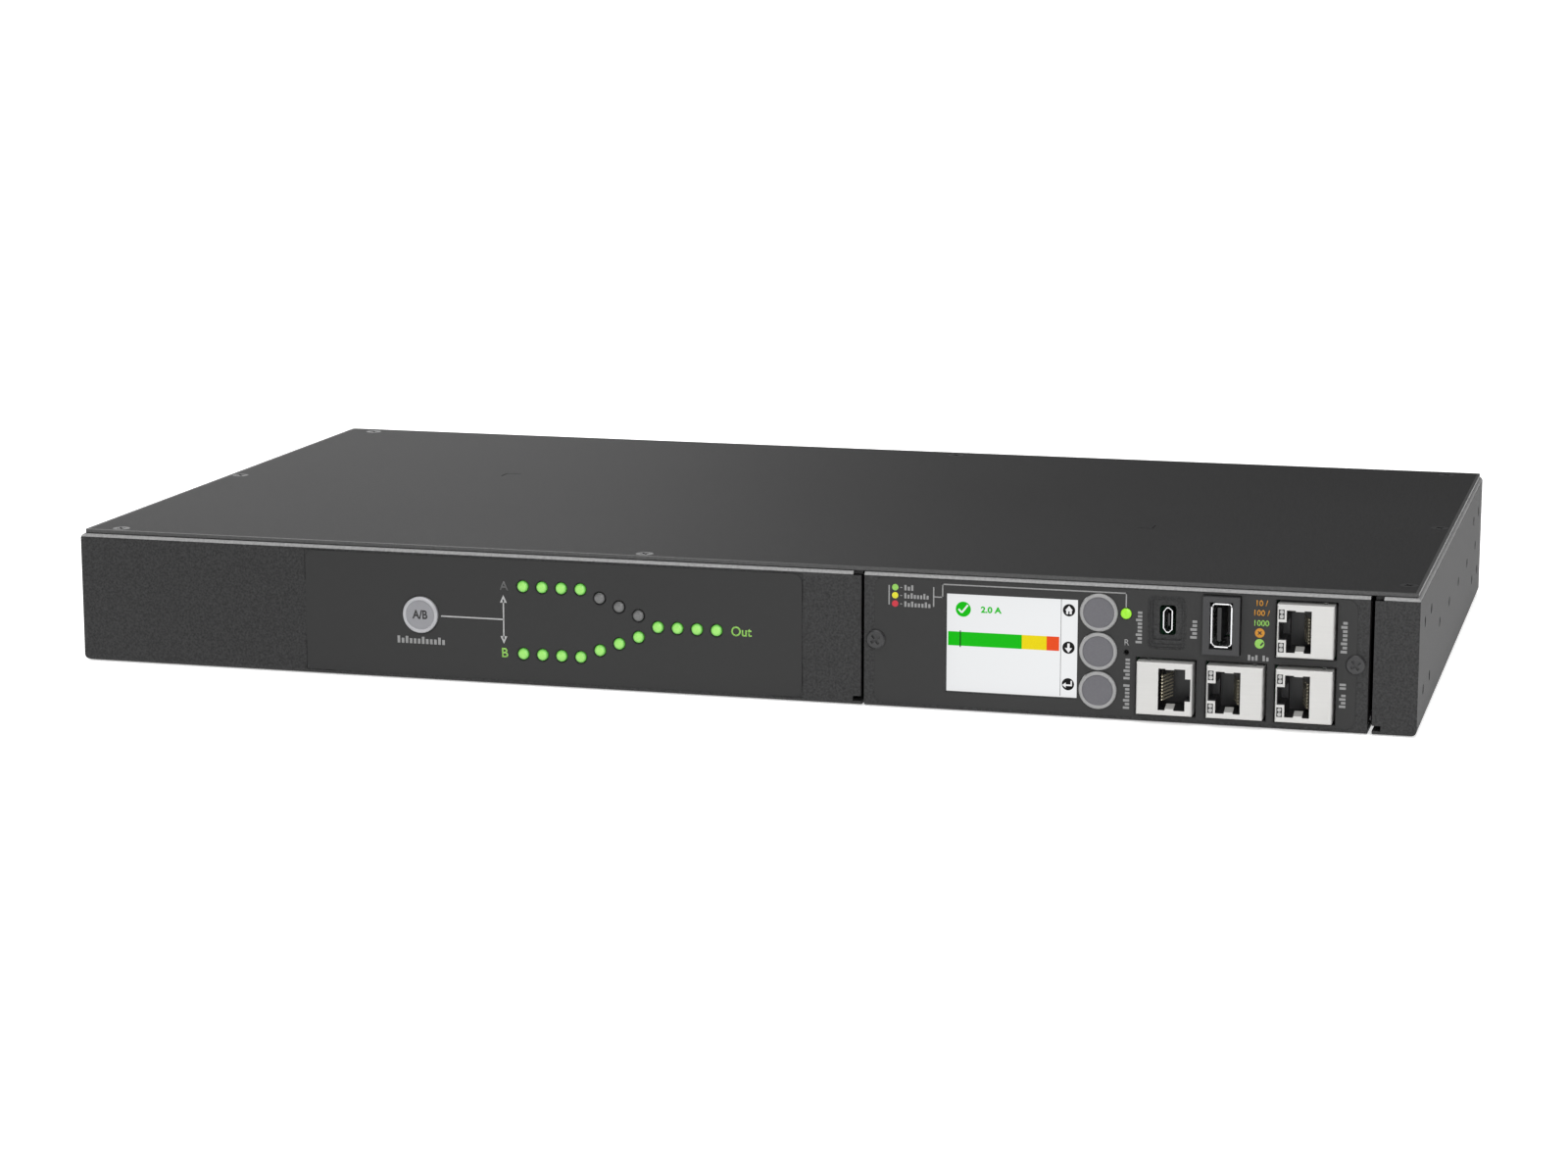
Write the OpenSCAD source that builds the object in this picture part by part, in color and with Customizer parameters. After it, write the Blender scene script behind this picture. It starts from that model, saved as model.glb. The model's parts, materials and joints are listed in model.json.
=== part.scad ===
// Rack automatic transfer switch, one rack unit high.
// Every piece is drawn in a working frame with its origin at the lower left corner of the front
// face: x runs right, y runs back, z runs up. centred() then moves the origin to the middle of
// the base. All sizes are in millimetres.

/* [Chassis] */
// Width across the two sides
chassis_w = 432; // [428:1:440]
// Depth from the front face to the back edge
chassis_d = 237; // [232:1:260]
// Height of the turned-in flanges that carry the cover
chassis_h = 42; // [41.5:0.5:43]
// Thickness of the folded steel
sheet = 1.2; // [1:0.1:1.4]
// Outside radius of the bends along the top
bend_r = 1.4; // [1.4:0.1:1.8]
// Outside radius of the bends between floor and sides
floor_bend_r = 2; // [1.5:0.1:2.4]
// Depth of the front and back flanges
flange_d = 12; // [10:0.5:14]
// Width of the flanges along the sides
flange_w = 9; // [8:0.5:10]

/* [Cover] */
// How far the cover stops short of each side
cover_inset = 0.8; // [0.4:0.1:1.5]
// How far the cover is set back from the front face
cover_setback = 1.5; // [1:0.1:2.5]
// Head diameter of the countersunk cover screws
cover_screw_head = 5.6; // [5:0.1:6]

/* [Side holes] */
// Spacing of the square groups of bracket holes
bracket_pitch = 20.8; // [18:0.1:24]
// Spacing of the five holes in the middle row
row_pitch = 35.3; // [34:0.1:36]
// Radius of the tapped holes
bracket_hole_r = 1.65; // [1.25:0.05:2.2]

/* [Source panel] */
// Left edge of the source label
label_x = 78.4; // [76:0.1:80]
// Width of the source label
label_w = 164.6; // [163:0.1:166]
// Distance between lamps along a row
lamp_pitch = 6.36; // [6:0.01:6.5]
// Diameter of a lamp's lens
lamp_d = 3.6; // [3:0.1:3.8]
// Diameter of the source preference button
preference_d = 11.7; // [10:0.1:12]

/* [Display module] */
// Left edge of the module's front
module_x = 262.8; // [262.5:0.1:263.2]
// Width of the module's front
module_w = 154.5; // [154:0.1:155]
// Width of the visible screen
screen_w = 40.8; // [38:0.1:41]
// Height of the visible screen
screen_h = 30.6; // [29:0.1:31]
// Diameter of the three round keys
key_d = 11.6; // [10:0.1:11.7]
// Distance between the round keys
key_pitch = 12; // [11.9:0.05:12.2]
// How far a key goes in when it is pressed
key_travel = 0.5; // [0.2:0.05:0.6]

/* [Jacks] */
// Width of a shielded jack
jack_w = 16.9; // [16:0.1:17]
// Height of a shielded jack
jack_h = 16.1; // [15.9:0.1:16.4]
// How far the jacks stand out of the front
jack_proud = 3.4; // [2:0.1:4]
// Distance between the contacts of a jack
contact_pitch = 1.02; // [1:0.01:1.1]

/* [Hidden] */

eps = 0.1;            // how far a cutting shape runs past the face it cuts
label_t = 0.25;       // thickness of the printed labels
label_gap = 0.2;      // how much wider a label's cut-out is than the sheet's
label_z0 = 1.5;
label_h = 38.8;
lamp_hole_r = 2.05;
board_t = 1.6;

opening_x0 = 261.8;   // the front wall's opening for the display module
opening_x1 = 418.7;
opening_depth = 13.5;
relief_w = 2.6;       // bend reliefs beside that opening
relief_low = [1.2, 2.8];
relief_high = [40.7, 42];

module_h = chassis_h;
module_flange = 12;   // top and bottom flanges of the module's front
module_return = 6;    // side flanges
control_label_x = 266.2;
control_label_w = 147.5;

mid_z = 21.1;         // height of the screws, the preference button and the output lamps
preference_x = 117.5;
row_a_z = 31.9;
row_b_z = 10.2;
lamp_x0 = 151.9;
slope_step = 2.47;    // drop of each of the three lamps that lead to the output row
indicator_y = 6;      // front face of the indicator board

key_x = 335.95;
key_z0 = 9.1;
key_hole_r = key_d / 2 + 0.1;
display_y = 8;        // front face of the display board
screen_x0 = 288.6;
screen_z0 = 5.9;
screen_y = 3;         // the screen's face, behind the front
status_pos = [344.2, 33.1];
status_r = 1.65;
reset_pos = [344.5, 21.2];
reset_hole_r = 0.75;

// jacks: [left edge, lower edge, mirrored, with lamps]
network_jack = [390.15, 22.8, false, true];
link_a_jack = [369.4, 3.05, false, true];
link_b_jack = [390.15, 3.05, false, true];
universal_jack = [348.2, 3.05, true, false];
jacks = [network_jack, link_a_jack, link_b_jack, universal_jack];
jack_depth = 19.4;
jack_gap = 0.75;      // space round a jack in the front
shield_t = 0.25;
shield_bend = 0.3;    // the can's folded front edges
port_y = jack_depth - jack_proud;   // front face of the port board
aperture_x = [2.8, 10.25];          // the plug's opening, from the jack's lower left corner
aperture_z = [1.55, 14.4];
notch_z = [5.3, 10.8];              // the latch notch beside it
lamp_window_x = [0.45, 2.2];
lamp_windows_z = [[1.55, 4.5], [11.65, 14.6]];
plain_aperture_x0 = 2.1;            // on a jack with no lamps
plain_notch_z = [4.6, 11.5];
spring_x = 5.5;       // the tab above the opening and the spring finger below it
spring_w = 2.6;

host_c = [373.3, 31.15];            // middle of the host port
host_bezel = [11.1, 17.7];
host_bezel_proud = 2.4;
host_cut = [7.0, 14.4];
console_c = [356.65, 31.4];         // middle of the console port
pocket = [351.2, 23.2, 362.2, 38.7];
pocket_floor = [352.1, 25.4, 361.2, 37.9];
pocket_depth = 1.6;

cover_t = 1.2;
cover_screws_at = [
    [11.7, 6], [190.3, 6], [427.1, 14.6], [4.9, 118.3], [427.1, 118.3],
    [11.7, 230.4], [241, 230.4], [419.8, 230.4],
];
cover_screw_r = 1.5;
cover_screw_l = 4.2;  // length under the cover

bracket_front_y = 17.6;
bracket_rear_y = 201.6;
bracket_z0 = 11;
row_y0 = 70.7;
row_z = bracket_z0 + bracket_pitch / 2;

rear_z = 21.6;                      // height of the inlets and outlets
inlets_x = [398, 345];
inlet_flange = [50, 30];
inlet_body = [33, 25.5];
inlet_cavity = [28, 20.6];
inlet_depth = 30;
blade_tail = 7;
blade_setback = 4;
outlet_pitch = 27;
outlet_depth = 27;
bank_x = [40, 158];                 // left edges of the two outlet banks
bank = [112, 36];
outlet_island = [16, 23.8];
outlet_well = [20.6, 28.4];
outlet_well_depth = 16;
outlet_proud = 2.4;
high_outlet_x = 296;
earth_x = 18;
earth_screw_r = 2;

board_z = 7;                        // underside of the two horizontal boards
power_board_at = [22, 42, 228, 150];
management_board_at = [272, 24, 132, 100];
bus_y = chassis_d - outlet_depth - 1.5;
bus_z = [11, 20, 29];
terminal_x = 236;

// ---------- outlines ----------

function arc(cx, cy, r, a0, a1, n = 6) =
    [for (i = [0:n]) let (a = a0 + (a1 - a0) * i / n) [cx + r * cos(a), cy + r * sin(a)]];

function round_outline(x0, y0, x1, y1, r, n = 6) = concat(
    arc(x1 - r, y1 - r, r, 0, 90, n), arc(x0 + r, y1 - r, r, 90, 180, n),
    arc(x0 + r, y0 + r, r, 180, 270, n), arc(x1 - r, y0 + r, r, 270, 360, n));

module round_rect(x0, y0, x1, y1, r) polygon(round_outline(x0, y0, x1, y1, r));

module rect(x0, y0, x1, y1) translate([x0, y0]) square([x1 - x0, y1 - y0]);

// ---------- placing ----------

module centred() translate([-chassis_w / 2, -chassis_d / 2, 0]) children();

// An outline drawn in x and z, made t thick and running back from y.
module upright(y, t) translate([0, y + t, 0]) rotate([90, 0, 0]) linear_extrude(t) children();

// An outline drawn in y and z, made w wide and running right from x.
module along_x(x, w) translate([x, 0, 0]) rotate([90, 0, 90]) linear_extrude(w) children();

// A round bar that runs back from y.
module rod(x, y, z, r, length) translate([x, y, z]) rotate([-90, 0, 0]) cylinder(r = r, h = length);

module brick(a, b) translate(a) cube(b - a);

// A cross-shaped drive, cut into a head whose face looks along +z.
module cross_drive(size, depth) for (turn = [0, 90]) rotate([0, 0, turn + 35])
    translate([-size / 2, -size / 8, -depth]) cube([size, size / 4, depth + eps]);

// ---------- folded steel ----------

// The outside of a box of folded steel: rounded where floor and sides and top meet.
module folded_block(inset, y_end) {
    top_r = max(bend_r - inset, 0.15);
    low_r = max(floor_bend_r - inset, 0.3);
    x0 = inset;
    x1 = chassis_w - inset;
    z0 = inset;
    z1 = chassis_h - inset;
    section = concat(arc(x1 - top_r, z1 - top_r, top_r, 0, 90), arc(x0 + top_r, z1 - top_r, top_r, 90, 180),
        arc(x0 + low_r, z0 + low_r, low_r, 180, 270), arc(x1 - low_r, z0 + low_r, low_r, 270, 360));
    side_r = max(bend_r - inset, 0.15);
    profile = concat([[y_end, z0], [y_end, z1]], arc(inset + side_r, z1 - side_r, side_r, 90, 180),
        arc(inset + side_r, z0 + side_r, side_r, 180, 270));
    intersection() {
        upright(-eps, y_end + 2 * eps) polygon(section);
        along_x(-eps, chassis_w + 2 * eps) polygon(profile);
    }
}

module lamp_points(z0, z_step, first, last) for (i = [first:last])
    translate([lamp_x0 + i * lamp_pitch, z0 + z_step * max(0, i - 3)]) children();

// Calls its children at each lamp of one row, in x and z.
module at_row_a() lamp_points(row_a_z, -slope_step, 0, 6) children();
module at_row_b() lamp_points(row_b_z, slope_step, 0, 6) children();
module at_output() lamp_points(mid_z, 0, 7, 10) children();

module source_holes(grow) {
    at_row_a() circle(lamp_hole_r + grow);
    at_row_b() circle(lamp_hole_r + grow);
    at_output() circle(lamp_hole_r + grow);
    translate([preference_x, mid_z]) circle(preference_d / 2 + 0.2 + grow);
}

// The four marks in the steel that the source label is laid to.
module register_marks() {
    leg = 10;
    line = 0.35;
    x0 = label_x - line;
    x1 = label_x + label_w;
    z0 = label_z0 - line;
    z1 = label_z0 + label_h;
    for (x = [x0, x1 - leg + line], z = [z0, z1]) rect(x, z, x + leg, z + line);
    for (x = [x0, x1], z = [z0, z1 - leg + line]) rect(x, z, x + line, z + leg);
}

module side_hole(y, z) translate([0, y, z]) rotate([0, 90, 0])
    translate([0, 0, -eps]) cylinder(r = bracket_hole_r, h = chassis_w + 2 * eps);

module side_holes() {
    for (y0 = [bracket_front_y, bracket_rear_y], i = [0, 1], k = [0, 1])
        side_hole(y0 + i * bracket_pitch, bracket_z0 + k * bracket_pitch);
    for (i = [0:4]) side_hole(row_y0 + i * row_pitch, row_z);
}

module chassis() centred() color([0.17, 0.17, 0.18]) difference() {
    folded_block(0, chassis_d);
    folded_block(sheet, chassis_d + 1);
    brick([flange_w, flange_d, chassis_h - sheet - 1], [chassis_w - flange_w, chassis_d + 1, chassis_h + 1]);
    // the opening for the display module, right through the front flange and back into the floor
    brick([opening_x0, -1, -1], [opening_x1, opening_depth, chassis_h + 1]);
    for (x = [opening_x0 - relief_w, opening_x1 - 1]) {
        brick([x, -1, relief_low[0]], [x + relief_w + 1, sheet + 0.6, relief_low[1]]);
        brick([x, -1, relief_high[0]], [x + relief_w + 1, sheet + 1.2, relief_high[1] + 1]);
    }
    upright(-1, 3) source_holes(0);
    upright(-1, 1.2) register_marks();
    side_holes();
    for (p = cover_screws_at) if (p[1] < chassis_d - flange_d)
        translate([p[0], p[1], chassis_h - 3]) cylinder(r = cover_screw_r, h = 4);
    for (p = standoffs_at) translate([p[0], p[1], -1]) cylinder(r = standoff_foot_r, h = 4);
}

module rear_cutouts() {
    for (x = inlets_x) {
        round_rect(x - inlet_body[0] / 2, rear_z - inlet_body[1] / 2,
            x + inlet_body[0] / 2, rear_z + inlet_body[1] / 2, 2);
        for (side = [-1, 1]) translate([x + side * 20, rear_z]) circle(1.65);
    }
    for (x = bank_x) rect(x + 2, rear_z - bank[1] / 2 + 2, x + bank[0] - 2, rear_z + bank[1] / 2 - 2);
    rect(high_outlet_x - 14, rear_z - 16, high_outlet_x + 14, rear_z + 16);
}

// The back is a shallow pan that stands between the sides, with a flange over the top and one
// along the floor.
module rear_panel() centred() color([0.17, 0.17, 0.18]) {
    y1 = chassis_d;
    y0 = y1 - flange_d;
    r = bend_r;
    z1 = chassis_h;
    z0 = sheet;
    top = concat([[y0, z1], [y0, z1 - sheet]], arc(y1 - r, z1 - r, r - sheet, 90, 0),
        [[y1 - sheet, z1 - 8], [y1, z1 - 8]], arc(y1 - r, z1 - r, r, 0, 90));
    difference() {
        union() {
            upright(y1 - sheet, sheet) difference() {
                rect(sheet, z0, chassis_w - sheet, chassis_h - bend_r);
                for (x = [sheet, chassis_w - sheet]) translate([x, z0]) rotate(45) square(1.5, center = true);
            }
            along_x(flange_w + 0.3, chassis_w - 2 * flange_w - 0.6) polygon(top);
            brick([20, y0, z0], [chassis_w - 20, y1 - sheet / 2, z0 + sheet]);
        }
        upright(y1 - 2 * sheet, 3 * sheet) rear_cutouts();
        for (p = cover_screws_at) if (p[1] > y0)
            translate([p[0], p[1], chassis_h - 3]) cylinder(r = cover_screw_r, h = 4);
        rod(earth_x, y1 - 2 * sheet, rear_z, earth_screw_r, 3 * sheet);
    }
}

module cover() centred() color([0.2, 0.2, 0.21]) difference() {
    translate([0, 0, chassis_h]) linear_extrude(cover_t)
        round_rect(cover_inset, cover_setback, chassis_w - cover_inset, chassis_d - 0.4, 1);
    for (p = cover_screws_at) translate([p[0], p[1], chassis_h]) {
        translate([0, 0, -eps]) cylinder(r = cover_screw_r, h = cover_t);
        cylinder(r1 = cover_screw_r, r2 = cover_screw_head / 2, h = cover_t);
        translate([0, 0, cover_t - 0.001]) cylinder(r = cover_screw_head / 2, h = 1);
    }
    // two corner marks where a rating label is laid
    for (mark = [[95.2, 146.6, 1, -1], [337, 92.6, -1, 1]])
        translate([mark[0], mark[1], chassis_h + cover_t - 0.2]) scale([mark[2], mark[3], 1]) {
            cube([5.5, 0.5, 1]);
            cube([0.5, 6, 1]);
        }
}

module cover_screws() centred() color([0.15, 0.15, 0.16])
    for (p = cover_screws_at) translate([p[0], p[1], chassis_h]) difference() {
        union() {
            translate([0, 0, -cover_screw_l]) cylinder(r = cover_screw_r, h = cover_screw_l + eps);
            cylinder(r1 = cover_screw_r, r2 = cover_screw_head / 2, h = cover_t);
        }
        translate([0, 0, cover_t]) cross_drive(3, 0.8);
    }

// ---------- source panel ----------

module source_label() centred() color([0.21, 0.21, 0.22]) upright(-label_t, label_t) difference() {
    round_rect(label_x, label_z0, label_x + label_w, label_z0 + label_h, 3);
    source_holes(label_gap);
}

// A domed light guide: lens in front, plain rod back to its lamp on the board.
module light_guide(x, z, r, y_back, dome) translate([x, -label_t - dome, z]) rotate([-90, 0, 0])
    rotate_extrude() polygon(concat([for (i = [0:5]) [r * sin(i * 18), dome * (1 - cos(i * 18))]],
        [[r, y_back + label_t + dome], [0, y_back + label_t + dome]]));

module source_a_lamps() centred() color([0.55, 0.9, 0.4])
    for (i = [0:6]) light_guide(lamp_x0 + i * lamp_pitch, row_a_z - slope_step * max(0, i - 3),
        lamp_d / 2, indicator_y, 0.6);

module source_b_lamps() centred() color([0.55, 0.9, 0.4])
    for (i = [0:6]) light_guide(lamp_x0 + i * lamp_pitch, row_b_z + slope_step * max(0, i - 3),
        lamp_d / 2, indicator_y, 0.6);

module output_lamps() centred() color([0.55, 0.9, 0.4])
    for (i = [7:10]) light_guide(lamp_x0 + i * lamp_pitch, mid_z, lamp_d / 2, indicator_y, 0.6);

// A round key cap: a bevelled ring round a sunken face, two ears that keep it in, and a stem
// that reaches into its switch.
module key_cap(d, y_switch, ear) rotate([-90, 0, 0]) {
    r = d / 2;
    back = 2.3;
    rotate_extrude() polygon([[0, -0.85], [r - 1.25, -0.85], [r - 0.95, -1.15], [r - 0.3, -1.15],
        [r, -0.85], [r, back], [1.7, back], [1.7, y_switch + 0.8], [0, y_switch + 0.8]]);
    translate([-r - ear, -1.5, 1.4]) cube([2 * (r + ear), 3, back - 1.4]);
}

// A press switch on its board: a square housing with a bore for the key's stem.
module press_switch(x, z, y_front, y_board, bore) difference() {
    brick([x - 3, y_front, z - 3], [x + 3, y_board, z + 3]);
    rod(x, y_front - eps, z, bore, 2 + eps);
}

module preference_button() centred() color([0.62, 0.62, 0.64])
    translate([preference_x, 0, mid_z]) key_cap(preference_d, 2.8, 1);

module indicator_board() centred() color([0.05, 0.3, 0.15])
    upright(indicator_y, board_t) difference() {
        rect(86, 4, 236, 36.6);
        for (p = indicator_studs) translate(p) circle(stud_r);
    }

stud_r = 1.25;
indicator_studs = [[92, 8], [92, 33], [230, 8], [230, 33]];
display_studs = [[279.5, 6.5], [279.5, 35.5]];
port_studs = [[365.2, 36.6], [387.8, 21.3]];

// Studs pressed into the two fronts, with a nut behind each upright board.
module studs(places, y_board) for (p = places) {
    rod(p[0], sheet, p[1], 1.9, y_board - sheet);
    rod(p[0], y_board, p[1], stud_r, board_t);
    rod(p[0], y_board + board_t, p[1], 2.4, 1.6);
}

module panel_studs() centred() color([0.75, 0.75, 0.78]) {
    studs(indicator_studs, indicator_y);
    studs(display_studs, display_y);
    studs(port_studs, port_y);
}

// ---------- display module ----------

function jack_hole(j, grow) = [j[0] - jack_gap - grow, j[1] - jack_gap - grow,
    j[0] + jack_w + jack_gap + grow, j[1] + jack_h + jack_gap + grow];

module control_holes(grow) {
    for (j = jacks) {
        h = jack_hole(j, grow);
        rect(h[0], h[1], h[2], h[3]);
    }
    host_gap = 0.2 + grow / 2;
    rect(host_c[0] - host_bezel[0] / 2 - host_gap, host_c[1] - host_bezel[1] / 2 - host_gap,
        host_c[0] + host_bezel[0] / 2 + host_gap, host_c[1] + host_bezel[1] / 2 + host_gap);
    rect(screen_x0 - grow, screen_z0 - grow, screen_x0 + screen_w + grow, screen_z0 + screen_h + grow);
    for (i = [0:2]) translate([key_x, key_z0 + i * key_pitch]) circle(key_hole_r);
    translate(status_pos) circle(status_r + 0.1 + grow);
    translate(reset_pos) circle(reset_hole_r + grow);
    for (x = panel_screws_x) translate([x, mid_z]) circle(1.6 + grow);
}

panel_screws_x = [266.6, 413.5];

// The pressed pocket round the console port: a stepped sill below, sloping walls elsewhere.
module pocket_cut() {
    a = pocket;
    b = pocket_floor;
    upright(-1, 1.5) polygon(round_outline(a[0], a[1], a[2], a[3], 1.6));
    upright(-1, 1 + 0.9) polygon(round_outline(a[0] + 0.4, a[1] + 0.9, a[2] - 0.4, a[3] - 0.35, 1.4));
    upright(-1, 1 + pocket_depth) polygon(round_outline(b[0], b[1], b[2], b[3], 1));
}

module display_panel() centred() color([0.17, 0.17, 0.18]) {
    x0 = module_x;
    x1 = module_x + module_w;
    r = bend_r;
    t = sheet;
    channel = concat([[module_flange, 0], [module_flange, t]], arc(r, r, r - t, 270, 180),
        arc(r, module_h - r, r - t, 180, 90), [[module_flange, module_h - t], [module_flange, module_h]],
        arc(r, module_h - r, r, 90, 180), arc(r, r, r, 180, 270));
    difference() {
        union() {
            along_x(x0, module_w) polygon(channel);
            for (x = [x0, x1 - t]) brick([x, t / 2, r + 0.6], [x + t, module_return, module_h - r - 0.6]);
            upright(t / 2, pocket_depth + t / 2) polygon(round_outline(pocket[0] - 1, pocket[1] - 1,
                pocket[2] + 1, pocket[3] + 1, 2));
        }
        upright(-1, 4) control_holes(0);
        pocket_cut();
        upright(-1, 6) round_rect(console_c[0] - 2.5, console_c[1] - 4.6, console_c[0] + 2.5,
            console_c[1] + 4.6, 1);
    }
}

module control_label() centred() color([0.21, 0.21, 0.22]) upright(-label_t, label_t) difference() {
    round_rect(control_label_x, 1.4, control_label_x + control_label_w, 40.6, 3);
    control_holes(label_gap);
    polygon(round_outline(pocket[0] - 0.4, pocket[1] - 0.4, pocket[2] + 0.4, pocket[3] + 0.4, 1.9));
}

module panel_screws() centred() color([0.15, 0.15, 0.16])
    for (x = panel_screws_x) translate([x, -label_t, mid_z]) rotate([90, 0, 0]) difference() {
        union() {
            rotate_extrude() polygon([[0, 0], [2.95, 0], [2.95, 0.45], [2.6, 0.8], [0, 0.95]]);
            translate([0, 0, -8 - label_t]) cylinder(r = 1.45, h = 8 + label_t + eps);
        }
        translate([0, 0, 0.95]) cross_drive(3.3, 0.8);
    }

// Angle brackets on the floor, each with a pressed-in threaded spacer behind the module's front.
module module_brackets() centred() color([0.7, 0.7, 0.72]) for (x = panel_screws_x) difference() {
    union() {
        brick([x - 3.5, 7, sheet], [x + 3.5, 8.2, 30]);
        brick([x - 3.5, 14, sheet], [x + 3.5, 20, 2 * sheet]);
        brick([x - 3.5, 7, 2 * sheet + 0.4], [x + 3.5, 15.2, 3 * sheet + 0.4]);
        brick([x - 3.5, 14, sheet], [x + 3.5, 15.2, 3 * sheet + 0.4]);
        rod(x, sheet, mid_z, 2.4, 7.5 - sheet);
    }
    rod(x, 0, mid_z, 1.45, 10);
    brick([x - 4, 6.9, 0], [x + 4, 8.3, 2 * sheet + 0.4]);
}

module lcd_panel() centred() color([0.92, 0.93, 0.95])
    brick([screen_x0 - 2.2, screen_y, screen_z0 - 3],
        [screen_x0 + screen_w + 1.6, 6, screen_z0 + screen_h + 3]);

module lcd_holder() centred() color([0.9, 0.9, 0.88]) difference() {
    brick([screen_x0 - 3.4, screen_y + 0.6, screen_z0 - 3.8],
        [screen_x0 + screen_w + 1.6, display_y, screen_z0 + screen_h + 3.8]);
    brick([screen_x0 - 2.2, screen_y, screen_z0 - 3],
        [screen_x0 + screen_w + 2, 6, screen_z0 + screen_h + 3]);
}

module status_lamp() centred() color([0.6, 1, 0.3])
    light_guide(status_pos[0], status_pos[1], status_r, display_y, 0.4);

module menu_key(i) translate([key_x, 0, key_z0 + i * key_pitch]) key_cap(key_d, 4.6, 0.5);
module home_button() centred() color([0.45, 0.45, 0.48]) menu_key(2);
module scroll_button() centred() color([0.45, 0.45, 0.48]) menu_key(1);
module enter_button() centred() color([0.45, 0.45, 0.48]) menu_key(0);

module reset_plunger() centred() color([0.15, 0.15, 0.15]) rod(reset_pos[0], 3.6, reset_pos[1], 1.1, 2);

// The five press switches: one behind each key, and a small one behind the reset hole.
module press_switches() centred() color([0.1, 0.1, 0.1]) {
    press_switch(preference_x, mid_z, 2.9 + key_travel, indicator_y, 1.8);
    for (i = [0:2]) press_switch(key_x, key_z0 + i * key_pitch, 4.2, display_y, 1.8);
    difference() {
        brick([reset_pos[0] - 2, 4.4, reset_pos[1] - 2], [reset_pos[0] + 2, display_y, reset_pos[1] + 2]);
        rod(reset_pos[0], 4.3, reset_pos[1], 1.2, 2.1);
    }
}

module display_board() centred() color([0.05, 0.3, 0.15])
    upright(display_y, board_t) difference() {
        rect(275, 3, 347, 39);
        for (p = display_studs) translate(p) circle(stud_r);
    }

module port_board() centred() color([0.05, 0.3, 0.15])
    upright(port_y, board_t) difference() {
        rect(346, 2.6, 408, 39.4);
        for (p = port_studs) translate(p) circle(stud_r);
    }

// ---------- jacks ----------

// Puts its children at a jack's lower left front corner, turned over for a mirrored jack.
module at_jack(j) translate([j[0] + (j[2] ? jack_w : 0), -jack_proud, j[1]])
    scale([j[2] ? -1 : 1, 1, 1]) children();

module jack_aperture(lamps) {
    x0 = lamps ? aperture_x[0] : plain_aperture_x0;
    notch = lamps ? notch_z : plain_notch_z;
    rect(x0, aperture_z[0], aperture_x[1], aperture_z[1]);
    rect(lamp_window_x[0], notch[0], x0 + eps, notch[1]);
}

module lamp_window_cuts() for (z = lamp_windows_z) rect(lamp_window_x[0], z[0], lamp_window_x[1], z[1]);

// The tinned shield: a can open at the back, its front pierced for the plug and the lamps, with
// a contact tab at the top of the opening and a spring finger folded in at the bottom.
module jack_shield(j) at_jack(j) {
    t = shield_t;
    b = shield_bend;
    difference() {
        intersection() {
            along_x(0, jack_w) polygon([[b, 0], [jack_depth, 0], [jack_depth, jack_h], [b, jack_h],
                [0, jack_h - b], [0, b]]);
            linear_extrude(jack_h) polygon([[b, 0], [jack_w - b, 0], [jack_w, b], [jack_w, jack_depth],
                [0, jack_depth], [0, b]]);
        }
        brick([t, t, t], [jack_w - t, jack_depth + 1, jack_h - t]);
        upright(-1, 2) {
            difference() {
                jack_aperture(j[3]);
                rect(spring_x, aperture_z[1] - 0.3, spring_x + spring_w, aperture_z[1] + 1);
            }
            if (j[3]) lamp_window_cuts();
        }
        brick([13.3, 3.2, jack_h - 1], [14.5, 6, jack_h + 1]);
        for (z = [2.6, 6.4, 10.6]) brick([jack_w - 1, 1.4, z], [jack_w + 1, 2.1, z + 2.4]);
    }
    along_x(spring_x, spring_w)
        polygon([[0, 1.45], [0, 2.05], [3.2, 3.05], [3.2, 2.8], [t, 1.85], [t, 1.45]]);
}

// The black moulding inside it, with the plug's cavity, the latch slot and the contact combs.
module jack_housing(j) at_jack(j) {
    t = shield_t;
    lamps = j[3];
    x0 = lamps ? aperture_x[0] : plain_aperture_x0;
    notch = lamps ? notch_z : plain_notch_z;
    middle = (aperture_z[0] + aperture_z[1]) / 2;
    difference() {
        brick([t, t, t], [jack_w - t, jack_depth, jack_h - t]);
        brick([x0, 0, aperture_z[0]], [aperture_x[1], 12.5, aperture_z[1]]);
        brick([lamp_window_x[0] + 0.3, 0, notch[0] + 0.3], [x0 + eps, 9, notch[1] - 0.3]);
        if (lamps) for (z = lamp_windows_z)
            brick([lamp_window_x[0], 0, z[0]], [lamp_window_x[1], 0.7, z[1]]);
        for (i = [0:7]) brick([aperture_x[1] - eps, 1.6, middle + (i - 3.5) * contact_pitch - 0.3],
            [aperture_x[1] + 0.5, 9.5, middle + (i - 3.5) * contact_pitch + 0.3]);
    }
}

module network_jack_shield() centred() color([0.8, 0.8, 0.8]) jack_shield(network_jack);
module network_jack_housing() centred() color([0.06, 0.06, 0.06]) jack_housing(network_jack);
module link_a_jack_shield() centred() color([0.8, 0.8, 0.8]) jack_shield(link_a_jack);
module link_a_jack_housing() centred() color([0.06, 0.06, 0.06]) jack_housing(link_a_jack);
module link_b_jack_shield() centred() color([0.8, 0.8, 0.8]) jack_shield(link_b_jack);
module link_b_jack_housing() centred() color([0.06, 0.06, 0.06]) jack_housing(link_b_jack);
module universal_jack_shield() centred() color([0.8, 0.8, 0.8]) jack_shield(universal_jack);
module universal_jack_housing() centred() color([0.06, 0.06, 0.06]) jack_housing(universal_jack);

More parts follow.
